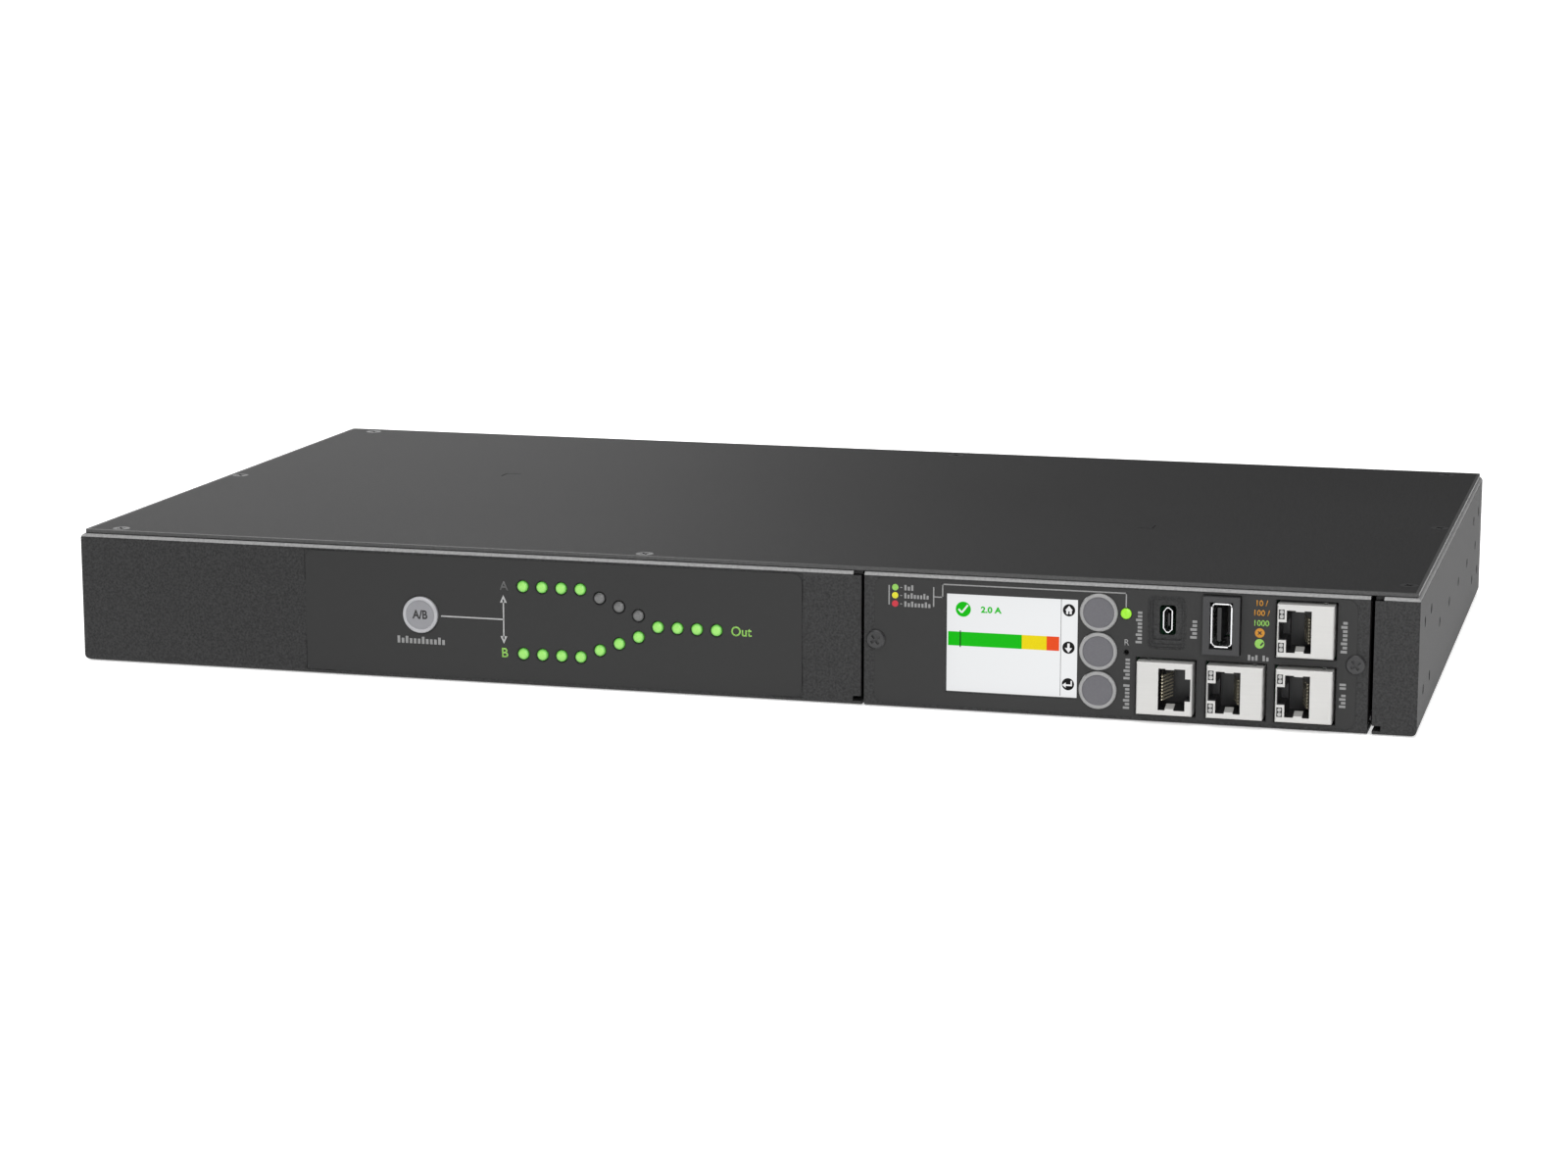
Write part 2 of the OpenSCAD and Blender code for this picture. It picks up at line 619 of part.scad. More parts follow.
// Eight sprung contacts in each jack, folded back from the mouth towards the plug.
module jack_contacts() centred() color([0.85, 0.65, 0.3]) for (j = jacks) at_jack(j) {
    wire = 0.4;
    middle = (aperture_z[0] + aperture_z[1]) / 2;
    for (i = [0:7]) translate([0, 0, middle + (i - 3.5) * contact_pitch - wire / 2])
        linear_extrude(wire) polygon([[9.2, 1.9], [9.4, 1.75], [9.65, 1.95], [10.6, 9.5], [10.25, 9.5],
            [9.45, 2.8], [7.3, 9.2], [7.0, 9.1]]);
}

// Two round lamp ends in each window of the jacks that have them.
module jack_lamps() centred() color([0.75, 0.75, 0.75]) for (j = jacks) if (j[3]) at_jack(j)
    for (z = lamp_windows_z, k = [-1, 1])
        rod((lamp_window_x[0] + lamp_window_x[1]) / 2, 0.1, (z[0] + z[1]) / 2 + k * 0.7, 0.6, 0.6);

// ---------- host and console ports ----------

module host_port_bezel() centred() color([0.19, 0.19, 0.2]) difference() {
    w = host_bezel[0] / 2;
    h = host_bezel[1] / 2;
    brick([host_c[0] - w, -host_bezel_proud, host_c[1] - h], [host_c[0] + w, port_y, host_c[1] + h]);
    brick([host_c[0] - host_cut[0] / 2, -3, host_c[1] - host_cut[1] / 2],
        [host_c[0] + host_cut[0] / 2, port_y + 1, host_c[1] + host_cut[1] / 2]);
}

// A steel tube with its four lips flared outwards at the mouth.
module host_port_shell() centred() color([0.82, 0.82, 0.84]) translate([host_c[0], -1.4, host_c[1]]) {
    w = 5.9 / 2;
    h = 13 / 2;
    t = 0.25;
    lip = 0.25;
    flat = 0.4;
    upright(0.9, port_y + 0.5) difference() {
        round_rect(-w, -h, w, h, 0.9);
        round_rect(-w + t, -h + t, w - t, h - t, 0.65);
    }
    for (side = [-1, 1]) {
        scale([side, 1, 1]) translate([0, 0, 0.9 - h]) linear_extrude(2 * h - 1.8)
            polygon([[w - t, 1], [w + lip - flat, 0], [w + lip, 0], [w, 1]]);
        scale([1, 1, side]) along_x(-w + 0.9, 2 * w - 1.8)
            polygon([[1, h - t], [0, h + lip - flat], [0, h + lip], [1, h]]);
    }
}

module host_port_tongue() centred() color([0.08, 0.08, 0.08]) translate([host_c[0], 0, host_c[1]]) {
    brick([-1.5, 0.4, -5.1], [-0.3, port_y - 1.5, 5.1]);
    brick([-2.3, port_y - 1.5, -5.9], [2.3, port_y, 5.9]);
}

// The five-sided shell of the console port: straight on one side, chamfered on the other.
function console_outline(grow) = [[1.15 + grow, 2.9], [1.15 + grow, -2.9], [0.35, -3.6 - grow],
    [-0.35, -3.6 - grow], [-1.15 - grow, -2.5], [-1.15 - grow, 2.5], [-0.35, 3.6 + grow], [0.35, 3.6 + grow]];

module console_port_shell() centred() color([0.8, 0.8, 0.82])
    translate([console_c[0] - 0.1, 2.2, console_c[1] - 0.1]) upright(0, port_y - 2.2) difference() {
        polygon(console_outline(0.3));
        polygon(console_outline(0));
    }

module console_port_tongue() centred() color([0.08, 0.08, 0.08])
    translate([console_c[0] - 0.1, 0, console_c[1] - 0.1]) {
        brick([-0.1, 3.2, -1.9], [0.5, port_y - 4, 1.9]);
        brick([-0.8, port_y - 4, -2.2], [0.8, port_y, 2.2]);
    }

// ---------- boards ----------

standoff_foot_r = 2.6;
standoffs_at = [
    [27, 48], [245, 48], [27, 186], [245, 186], [136, 117],
    [278, 30], [398, 30], [278, 118], [398, 118],
];

module board_plate(at, holes) difference() {
    translate([at[0], at[1], board_z]) cube([at[2], at[3], board_t]);
    for (p = holes) translate([p[0], p[1], board_z - 1]) cylinder(r = 1.6, h = 4);
}

module power_board() centred() color([0.05, 0.28, 0.14])
    board_plate(power_board_at, [for (i = [0:4]) standoffs_at[i]]);
module management_board() centred() color([0.05, 0.28, 0.14])
    board_plate(management_board_at, [for (i = [5:8]) standoffs_at[i]]);

module board_standoffs() centred() color([0.75, 0.75, 0.78])
    for (p = standoffs_at) translate([p[0], p[1], 0]) {
        cylinder(r = standoff_foot_r, h = sheet);
        translate([0, 0, sheet / 2]) cylinder(r = standoff_foot_r - 0.3, h = board_z - sheet / 2);
        translate([0, 0, board_z - 0.3]) cylinder(r = 1.6, h = board_t + 0.6);
        translate([0, 0, board_z + board_t]) cylinder(r = 2.8, h = 1.8);
    }

module management_chips() centred() color([0.12, 0.12, 0.13]) for (chip = [
        [292, 50, 17, 17, 1.6], [292, 78, 12, 8, 1.2], [318, 50, 20, 12, 1.4], [350, 66, 14, 14, 1.6],
        [376, 40, 16, 22, 9], [330, 92, 24, 14, 11]])
    translate([chip[0], chip[1], board_z + board_t]) cube([chip[2], chip[3], chip[4]]);

on_power = board_z + board_t;

// A sealed relay with its moulded edge and vent nib.
module relay() {
    brick([0, 0, 0], [29, 12.7, 25]);
    brick([1, 1, 24.5], [28, 11.7, 25.5]);
    translate([4, 6, 25]) cylinder(r = 1, h = 1);
}

module transfer_relays() centred() color([0.1, 0.1, 0.11]) for (i = [0:3], k = [0, 1])
    translate([40 + k * 110, 116 + i * 17, on_power]) relay();

module power_supplies() centred() color([0.08, 0.08, 0.09]) for (x = [40, 140])
    translate([x, 56, on_power]) {
        cube([54, 30, 22]);
        translate([2, 2, 21.5]) cube([50, 26, 1]);
    }

module filter_capacitors() centred() color([0.1, 0.12, 0.3])
    for (p = [[108, 60], [108, 78], [208, 60], [208, 78], [228, 69]])
        translate([p[0], p[1], on_power]) cylinder(r = 6.25, h = 24);

module current_sensors() centred() color([0.15, 0.25, 0.5]) for (y = [124, 158])
    translate([96, y, on_power + 12.3]) rotate([0, 90, 0]) rotate_extrude() translate([5, 0]) square([7, 9]);

module fuses() centred() color([0.85, 0.83, 0.78]) for (x = [196, 214]) translate([x, 130, on_power]) {
    translate([0, 0, 5.5]) rotate([-90, 0, 0]) cylinder(r = 3.15, h = 32);
    for (y = [3, 24]) brick([-2, y, 0], [2, y + 5, 3.5]);
}

// Flat cable from the indicator board back to the management board.
module ribbon_cable() centred() color([0.55, 0.55, 0.58]) {
    y0 = indicator_y + board_t;
    along_x(196, 24) polygon([[y0, 20], [y0 + 6, 20], [y0 + 6, 14.5], [44, 14.5], [44, 13.5], [y0 + 5, 13.5],
        [y0 + 5, 19], [y0, 19]]);
    translate([0, 0, 13.5]) linear_extrude(1) rect(196, 36, 286, 44);
    brick([274, 36, on_power], [286, 44, 13.6]);
}

// ---------- inlets and outlets ----------

// A 16 A appliance inlet: flange, body with a deep cavity, and room for three flat blades.
module inlet(x) translate([x, chassis_d, rear_z]) difference() {
    union() {
        upright(0, 3) round_rect(-inlet_flange[0] / 2, -inlet_flange[1] / 2, inlet_flange[0] / 2,
            inlet_flange[1] / 2, 5);
        upright(-inlet_depth, inlet_depth + eps) round_rect(-inlet_body[0] / 2, -inlet_body[1] / 2,
            inlet_body[0] / 2, inlet_body[1] / 2, 2);
    }
    upright(-20, 24) round_rect(-inlet_cavity[0] / 2, -inlet_cavity[1] / 2, inlet_cavity[0] / 2,
        inlet_cavity[1] / 2, 3);
    for (p = inlet_pins) upright(-inlet_depth - 1, 12) rect(p[0] - 4, p[1] - 1, p[0] + 4, p[1] + 1);
    for (side = [-1, 1]) {
        rod(side * 20, -1, 0, 1.7, 5);
        translate([side * 20, 3.01, 0]) rotate([90, 0, 0]) cylinder(r1 = 3.2, r2 = 1.7, h = 1.6);
    }
}

inlet_pins = [[-6.5, -2.5], [6.5, -2.5], [0, 5]];

module inlet_a() centred() color([0.08, 0.08, 0.08]) inlet(inlets_x[0]);
module inlet_b() centred() color([0.08, 0.08, 0.08]) inlet(inlets_x[1]);

module inlet_blades() centred() color([0.8, 0.78, 0.7]) for (x = inlets_x, p = inlet_pins)
    translate([x + p[0], chassis_d, rear_z + p[1]])
        upright(-inlet_depth - blade_tail, inlet_depth + blade_tail - blade_setback) rect(-4, -1, 4, 1);

// One 10 A outlet, as a cut: a well round an island that has two corners cut off, and three slots.
module outlet_cut() {
    w = outlet_well / 2;
    i = outlet_island / 2;
    y = -outlet_well_depth;
    difference() {
        upright(y, outlet_well_depth + 4) polygon([[w[0], w[1]], [w[0], -w[1]], [-w[0] + 5, -w[1]],
            [-w[0], -w[1] + 5], [-w[0], w[1] - 5], [-w[0] + 5, w[1]]]);
        upright(y - 1, outlet_well_depth + 2) polygon([[i[0], i[1]], [i[0], -i[1]], [-i[0] + 4.2, -i[1]],
            [-i[0], -i[1] + 4.2], [-i[0], i[1] - 4.2], [-i[0] + 4.2, i[1]]]);
    }
    for (slot = [[2, 7], [2, -7], [-2, 0]]) upright(y - 4, outlet_well_depth + 6)
        rect(slot[0] - 2.3, slot[1] - 1.1, slot[0] + 2.3, slot[1] + 1.1);
}

module outlet_bank(x) translate([x, chassis_d, rear_z]) difference() {
    union() {
        upright(0, outlet_proud) round_rect(0, -bank[1] / 2, bank[0], bank[1] / 2, 2);
        upright(-outlet_depth, outlet_depth + eps) rect(2, -bank[1] / 2 + 2, bank[0] - 2, bank[1] / 2 - 2);
    }
    for (i = [0:3]) translate([bank[0] / 2 + (i - 1.5) * outlet_pitch, 0, 0]) outlet_cut();
}

module outlet_bank_left() centred() color([0.08, 0.08, 0.08]) outlet_bank(bank_x[0]);
module outlet_bank_right() centred() color([0.08, 0.08, 0.08]) outlet_bank(bank_x[1]);

module high_current_outlet() centred() color([0.08, 0.08, 0.08])
    translate([high_outlet_x, chassis_d, rear_z])
    difference() {
        union() {
            upright(0, outlet_proud) round_rect(-16, -18, 16, 18, 2);
            upright(-outlet_depth, outlet_depth + eps) rect(-14, -16, 14, 16);
        }
        difference() {
            upright(-18, 24) round_rect(-11.9, -14.8, 11.9, 14.8, 2.5);
            upright(-19, 21) round_rect(-9.6, -12.5, 9.6, 12.5, 2);
        }
        for (slot = [[2.5, 6.5], [2.5, -6.5], [-5, 0]])
            upright(-22, 26) rect(slot[0] - 1.2, slot[1] - 4.2, slot[0] + 1.2, slot[1] + 4.2);
    }

module bus_bars() centred() color([0.8, 0.5, 0.3]) for (z = bus_z)
    brick([46, bus_y, z], [308, bus_y + 1.5, z + 5]);

// A wire: a round section swept along a route with eased corners.
wire_sides = 8;
function eased(p, r, n = 4) = [for (k = [0:len(p) - 1])
    if (k == 0 || k == len(p) - 1) p[k]
    else let (a = (p[k - 1] - p[k]) / norm(p[k - 1] - p[k]), b = (p[k + 1] - p[k]) / norm(p[k + 1] - p[k]))
        each [for (i = [0:n]) let (t = i / n, q = p[k] + a * r, s = p[k] + b * r)
            q * (1 - t) * (1 - t) + 2 * p[k] * t * (1 - t) + s * t * t]];
function heading(p, k) = let (d = p[min(k + 1, len(p) - 1)] - p[max(k - 1, 0)]) d / norm(d);
function ring(c, d, r) = let (u = abs(d[2]) > 0.9 ? [1, 0, 0] : [0, 0, 1], e = cross(d, u),
    f = e / norm(e), g = cross(d, f))
    [for (i = [0:wire_sides - 1]) c + r * (f * cos(i * 360 / wire_sides) + g * sin(i * 360 / wire_sides))];

module wire(route, r) {
    path = eased(route, 5);
    n = len(path);
    s = wire_sides;
    polyhedron(
        points = [for (k = [0:n - 1]) each ring(path[k], heading(path, k), r)],
        faces = concat([[for (i = [0:s - 1]) i]], [[for (i = [s - 1:-1:0]) (n - 1) * s + i]],
            [for (k = [0:n - 2], i = [0:s - 1]) each [
                [k * s + i, (k + 1) * s + i, (k + 1) * s + (i + 1) % s],
                [k * s + i, (k + 1) * s + (i + 1) % s, k * s + (i + 1) % s]]]));
}

// Two wires from each inlet to the terminal block, and three from the board to the bus bars.
module power_wires() centred() color([0.35, 0.25, 0.15]) {
    for (n = [0, 1], k = [0, 1]) let (x = inlets_x[n] + inlet_pins[k][0], z = rear_z + inlet_pins[k][1],
        y = chassis_d - inlet_depth - blade_tail, lane = 152 + 12 * n - 6 * k)
        wire([[x, y, z], [x, lane, z], [262, lane, z], [terminal_x + 10, lane, z]], 1.7);
    for (k = [0:2]) let (x = 210 + 9 * k, z = bus_z[k] + 2.5)
        wire([[x, bus_y, z], [x, 193 - 2 * k, z], [x, 180 - 2 * k, z], [x, 180 - 2 * k, on_power]], 1.7);
}

module terminal_block() centred() color([0.1, 0.3, 0.2]) for (i = [0:3])
    translate([terminal_x, 143.2 + 6 * i, on_power]) cube([10, 5.6, 15]);

module earth_screw() centred() color([0.8, 0.7, 0.4]) translate([earth_x, chassis_d, rear_z]) {
    rod(0, -8, 0, earth_screw_r, 8 + eps);
    rod(0, 0, 0, 3.8, 2.2);
    rod(0, -sheet - 3.2, 0, 3.8, 3.2);
}

chassis();
rear_panel();
cover();
cover_screws();
source_label();
source_a_lamps();
source_b_lamps();
output_lamps();
preference_button();
indicator_board();
panel_studs();
display_panel();
control_label();
panel_screws();
module_brackets();
lcd_panel();
lcd_holder();
status_lamp();
home_button();
scroll_button();
enter_button();
reset_plunger();
press_switches();
display_board();
port_board();
network_jack_shield();
network_jack_housing();
link_a_jack_shield();
link_a_jack_housing();
link_b_jack_shield();
link_b_jack_housing();
universal_jack_shield();
universal_jack_housing();
jack_contacts();
jack_lamps();
host_port_bezel();
host_port_shell();
host_port_tongue();
console_port_shell();
console_port_tongue();
management_board();
management_chips();
power_board();
board_standoffs();
transfer_relays();
power_supplies();
filter_capacitors();
current_sensors();
fuses();
terminal_block();
ribbon_cable();
inlet_a();
inlet_b();
inlet_blades();
outlet_bank_left();
outlet_bank_right();
high_current_outlet();
bus_bars();
power_wires();
earth_screw();
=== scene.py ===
import json
import math

import bpy
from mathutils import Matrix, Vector


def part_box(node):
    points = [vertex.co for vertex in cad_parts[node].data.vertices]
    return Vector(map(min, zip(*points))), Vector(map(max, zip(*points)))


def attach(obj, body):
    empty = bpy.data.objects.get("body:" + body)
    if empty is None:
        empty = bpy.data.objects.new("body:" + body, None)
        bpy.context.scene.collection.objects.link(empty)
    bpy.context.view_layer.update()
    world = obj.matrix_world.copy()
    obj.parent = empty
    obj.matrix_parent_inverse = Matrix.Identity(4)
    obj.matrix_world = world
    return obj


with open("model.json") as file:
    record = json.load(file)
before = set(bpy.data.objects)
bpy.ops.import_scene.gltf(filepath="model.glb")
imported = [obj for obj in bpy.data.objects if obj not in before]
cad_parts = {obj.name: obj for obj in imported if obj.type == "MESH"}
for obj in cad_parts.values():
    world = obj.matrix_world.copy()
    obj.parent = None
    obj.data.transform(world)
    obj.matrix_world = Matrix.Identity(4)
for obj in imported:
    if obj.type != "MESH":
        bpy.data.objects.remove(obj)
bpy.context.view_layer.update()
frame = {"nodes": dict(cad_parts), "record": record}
nodes = frame["nodes"]
bpy.ops.object.select_all(action="DESELECT")
print("frame loaded:", len(nodes), "nodes")

body = "enclosure"
mm = 0.001
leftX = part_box("chassis")[0].x
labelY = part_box("source_label")[0].y
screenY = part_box("lcd_panel")[0].y

# Camera

cameraView = {"place": (0.30706, -1.18179, 0.24629), "yaw": 15.047, "pitch": -10.831, "lens": 83.21}

bpy.ops.object.camera_add(
    location=cameraView["place"],
    rotation=(math.radians(90 + cameraView["pitch"]), 0, math.radians(cameraView["yaw"])),
)
camera = bpy.context.object
camera.name = "viewCamera"
camera.data.lens = cameraView["lens"]
camera.data.sensor_width = 36
camera.data.clip_start = 0.05
camera.data.clip_end = 80
bpy.context.scene.camera = camera
bpy.context.scene.view_settings.view_transform = "Standard"
print("camera placed")


# Shader maths: a Wire is one socket, and sums of wires add the nodes they need.
class Wire:
    def __init__(self, finish, socket):
        self.finish, self.socket = finish, socket

    def maths(self, operation, first, second=None):
        inputs = {0: first} if second is None else {0: first, 1: second}
        return self.finish.add("ShaderNodeMath", {"operation": operation}, inputs)[0]

    def __add__(self, other):
        return self.maths("ADD", self, other)

    __radd__ = __add__

    def __sub__(self, other):
        return self.maths("SUBTRACT", self, other)

    def __rsub__(self, other):
        return self.maths("SUBTRACT", other, self)

    def __mul__(self, other):
        return self.maths("MULTIPLY", self, other)

    __rmul__ = __mul__

    def __truediv__(self, other):
        return self.maths("DIVIDE", self, other)

    def __pow__(self, other):
        return self.maths("POWER", self, other)

    def __gt__(self, other):
        return self.maths("GREATER_THAN", self, other)

    def __lt__(self, other):
        return self.maths("LESS_THAN", self, other)

    def clamped(self):
        return self.finish.add("ShaderNodeClamp", {}, {0: self})[0]


class Finish:
    def __init__(self, name, colour, roughness=0.5, **sockets):
        self.material = bpy.data.materials.new(name)
        self.material.use_nodes = True
        self.tree = self.material.node_tree
        self.shader = self.tree.nodes["Principled BSDF"]
        self.material.diffuse_color = (*colour, 1)
        self.set("Base Color", (*colour, 1))
        self.set("Roughness", roughness)
        for socket, value in sockets.items():
            self.set(socket.replace("_", " "), value)
        self.place = self.add("ShaderNodeTexCoord")["Object"]

    def set(self, socket, value):
        self.link(self.shader.inputs[socket], value)

    def link(self, target, value):
        if isinstance(value, Wire):
            self.tree.links.new(value.socket, target)
        else:
            target.default_value = value

    # Any node but a sum: its settings first, then the values or wires of its sockets.
    def add(self, kind, settings=None, inputs=None):
        made = self.tree.nodes.new(kind)
        for key, value in (settings or {}).items():
            if key == "stops":
                for i, (at, tone) in enumerate(value):
                    stop = made.color_ramp.elements[i] if i < 2 else made.color_ramp.elements.new(at)
                    stop.position, stop.color = at, (*tone, 1)
            else:
                setattr(made, key, value)
        for key, value in (inputs or {}).items():
            self.link(made.inputs[key], value)
        outputs = [o for o in made.outputs if o.enabled]
        wires = {o.name: Wire(self, o) for o in outputs}
        wires.update({i: Wire(self, o) for i, o in enumerate(outputs)})
        return wires

    def scaled(self, x, y, z):
        return self.add("ShaderNodeMapping", {}, {"Vector": self.place, "Scale": (x, y, z)})[0]

    def noise(self, scale, detail=2, roughness=0.5, vector=None):
        return self.add(
            "ShaderNodeTexNoise",
            {},
            {"Vector": vector or self.place, "Scale": scale, "Detail": detail, "Roughness": roughness},
        )["Fac"]

    def mix(self, factor, a, b):
        return self.add(
            "ShaderNodeMix",
            {"data_type": "RGBA"},
            {0: factor, 6: a if isinstance(a, Wire) else (*a, 1), 7: b if isinstance(b, Wire) else (*b, 1)},
        )[0]

    def bump(self, height, strength, distance):
        return self.add(
            "ShaderNodeBump", {}, {"Height": height, "Strength": strength, "Distance": distance}
        )[0]

    def axes(self):
        split = self.add("ShaderNodeSeparateXYZ", {}, {0: self.place})
        return split[0], split[1], split[2]


# Finishes

coatLook = {
    "grain": 1500,  # wrinkles in a metre
    "fine": 3400,
    "strength": 0.8,
    "height": 0.00014,
    "edge": 1.0,  # how far from an outer edge along the top bends the painted highlight reaches, in millimetres
}


def powderCoat(name, tone, roughness, level, node, paintedHighlightTone):
    finish = Finish(name, (tone,) * 3, roughness, Specular_IOR_Level=level)
    x, y, z = finish.axes()
    low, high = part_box(node)
    near = coatLook["edge"] * mm
    front, top = y < low.y + near, z > high.z - near
    sides = (x > high.x - near).maths("MAXIMUM", x > high.x - near, x < low.x + near)
    bend = (front * top).maths("MAXIMUM", front * top, sides * top)
    grain = finish.noise(coatLook["grain"], 3, 0.55)
    fine = finish.noise(coatLook["fine"], 1)
    cloud = finish.noise(9, 2)
    height = grain * 0.75 + fine * 0.25
    dark, light = (tone * 0.45,) * 3, (tone * 1.65, tone * 1.65, tone * 1.68)
    coat = finish.mix(((grain - 0.5) * 2.6 + 0.5 + (cloud - 0.5) * 0.3).clamped(), dark, light)
    # Painted highlight: along the bends of the top edges the base colour turns to a lighter tone (the last argument),
    # standing in for the bright line of light the bend catches. The grain breaks it up, and the lower roughness there
    # is real gloss.
    wearAndPaintedHighlight = bend * (grain * 0.7 + 0.45)
    finish.set("Base Color", finish.mix(wearAndPaintedHighlight.clamped(), coat, (paintedHighlightTone,) * 3))
    finish.set("Roughness", (grain - 0.5) * 0.25 + roughness - bend * 0.15)
    finish.set("Normal", finish.bump(height, coatLook["strength"], coatLook["height"]))
    return finish.material


def printedFilm(name, tone, roughness):
    finish = Finish(name, (tone,) * 3, roughness, Specular_IOR_Level=0.35)
    fine = finish.noise(3200, 1)
    cloud = finish.noise(14, 3)
    finish.set("Base Color", finish.mix(cloud * 0.6 + fine * 0.4, (tone * 0.88,) * 3, (tone * 1.12,) * 3))
    finish.set("Roughness", roughness + (cloud - 0.5) * 0.08)
    finish.set("Normal", finish.bump(fine, 0.18, 0.00003))
    return finish.material


def moulded(name, colour, roughness=0.5, grain=2200, strength=0.15, level=0.5):
    finish = Finish(name, colour, roughness, Specular_IOR_Level=level)
    fine = finish.noise(grain, 2)
    cloud = finish.noise(40, 3)
    dark, light = tuple(c * 0.85 for c in colour), tuple(min(1, c * 1.15) for c in colour)
    finish.set("Base Color", finish.mix(cloud * 0.7 + fine * 0.3, dark, light))
    finish.set("Roughness", roughness + (fine - 0.5) * 0.12)
    finish.set("Normal", finish.bump(fine, strength, 0.00004))
    return finish.material


def metal(name, colour, roughness=0.35, streak=(60, 60, 2500), metallic=1.0, strength=0.08):
    finish = Finish(name, colour, roughness, Metallic=metallic)
    lines = finish.noise(1, 3, 0.6, finish.scaled(*streak))
    cloud = finish.noise(120, 3)
    dark, light = tuple(c * 0.86 for c in colour), tuple(min(1, c * 1.08) for c in colour)
    finish.set("Base Color", finish.mix(lines * 0.5 + cloud * 0.5, dark, light))
    finish.set("Roughness", roughness + (lines - 0.5) * 0.2 + (cloud - 0.5) * 0.12)
    finish.set("Normal", finish.bump(lines, strength, 0.00003))
    return finish.material


# A lit lens: bright in the middle, a deeper green toward its rim. Lamps past the lit count are grey.
lampLook = {
    "pitch": 6.36,
    "first": 151.9,  # the first lamp's place from the left side, in millimetres
    "rimStart": 0.00115,
    "rimWidth": 0.0005,
    "centre": (0.34, 0.78, 0.16),
    "rim": (0.12, 0.46, 0.06),
    "glow": 0.12,
}


def lampLens(name, level, slope, litCount):
    finish = Finish(name, lampLook["centre"], 0.25)
    x, y, z = finish.axes()
    step = (x - (leftX + lampLook["first"] * mm)) / (lampLook["pitch"] * mm)
    index = (step + 0.5).maths("FLOOR", step + 0.5)
    offsetX = (step - index) * (lampLook["pitch"] * mm)
    past = index - 3
    offsetZ = z - level * mm - past.maths("MAXIMUM", past, 0) * (slope * mm)
    radius = (offsetX * offsetX + offsetZ * offsetZ) ** 0.5
    rim = ((radius - lampLook["rimStart"]) / lampLook["rimWidth"]).clamped()
    speck = finish.noise(1800, 2)
    lit = index < litCount - 0.5
    shown = finish.mix(rim, lampLook["centre"], lampLook["rim"])
    off = finish.mix(rim, (0.17, 0.17, 0.17), (0.07, 0.07, 0.07))
    finish.set("Base Color", finish.mix(lit, off, shown))
    finish.set("Emission Color", finish.mix(lit, (0, 0, 0), shown))
    finish.set("Emission Strength", lampLook["glow"])
    finish.set("Roughness", 0.22 + speck * 0.12)
    return finish.material


# A round key: a pale ring round a darker face.
def roundKey(name, node, faceTone, ringTone, faceRadius):
    finish = Finish(name, faceTone, 0.35)
    low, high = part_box(node)
    x, y, z = finish.axes()
    offsetX, offsetZ = x - (low.x + high.x) / 2, z - (low.z + high.z) / 2
    radius = (offsetX * offsetX + offsetZ * offsetZ) ** 0.5
    ring = ((radius - (faceRadius - 0.06) * mm) / (0.12 * mm)).clamped()
    fine = finish.noise(2600, 2)
    tone = finish.mix(ring, faceTone, ringTone)
    finish.set("Base Color", finish.mix(fine * 0.25, tone, tuple(c * 0.8 for c in ringTone)))
    finish.set("Roughness", 0.3 + fine * 0.12)
    finish.set("Normal", finish.bump(fine, 0.12, 0.00003))
    return finish.material


# The lit field of the screen, a trace cooler at its right.
def litScreen(name, colour, roughness):
    finish = Finish(name, (0.06, 0.06, 0.06), roughness, Specular_IOR_Level=0.1, Emission_Strength=1)
    x, y, z = finish.axes()
    low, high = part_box("lcd_panel")
    across = (x - low.x) / (high.x - low.x)
    cell = finish.noise(5200, 1)
    cool = finish.mix(across, colour, tuple(c * 1.04 for c in colour))
    finish.set("Emission Color", finish.mix(cell * 0.12, cool, tuple(c * 0.8 for c in colour)))
    return finish.material


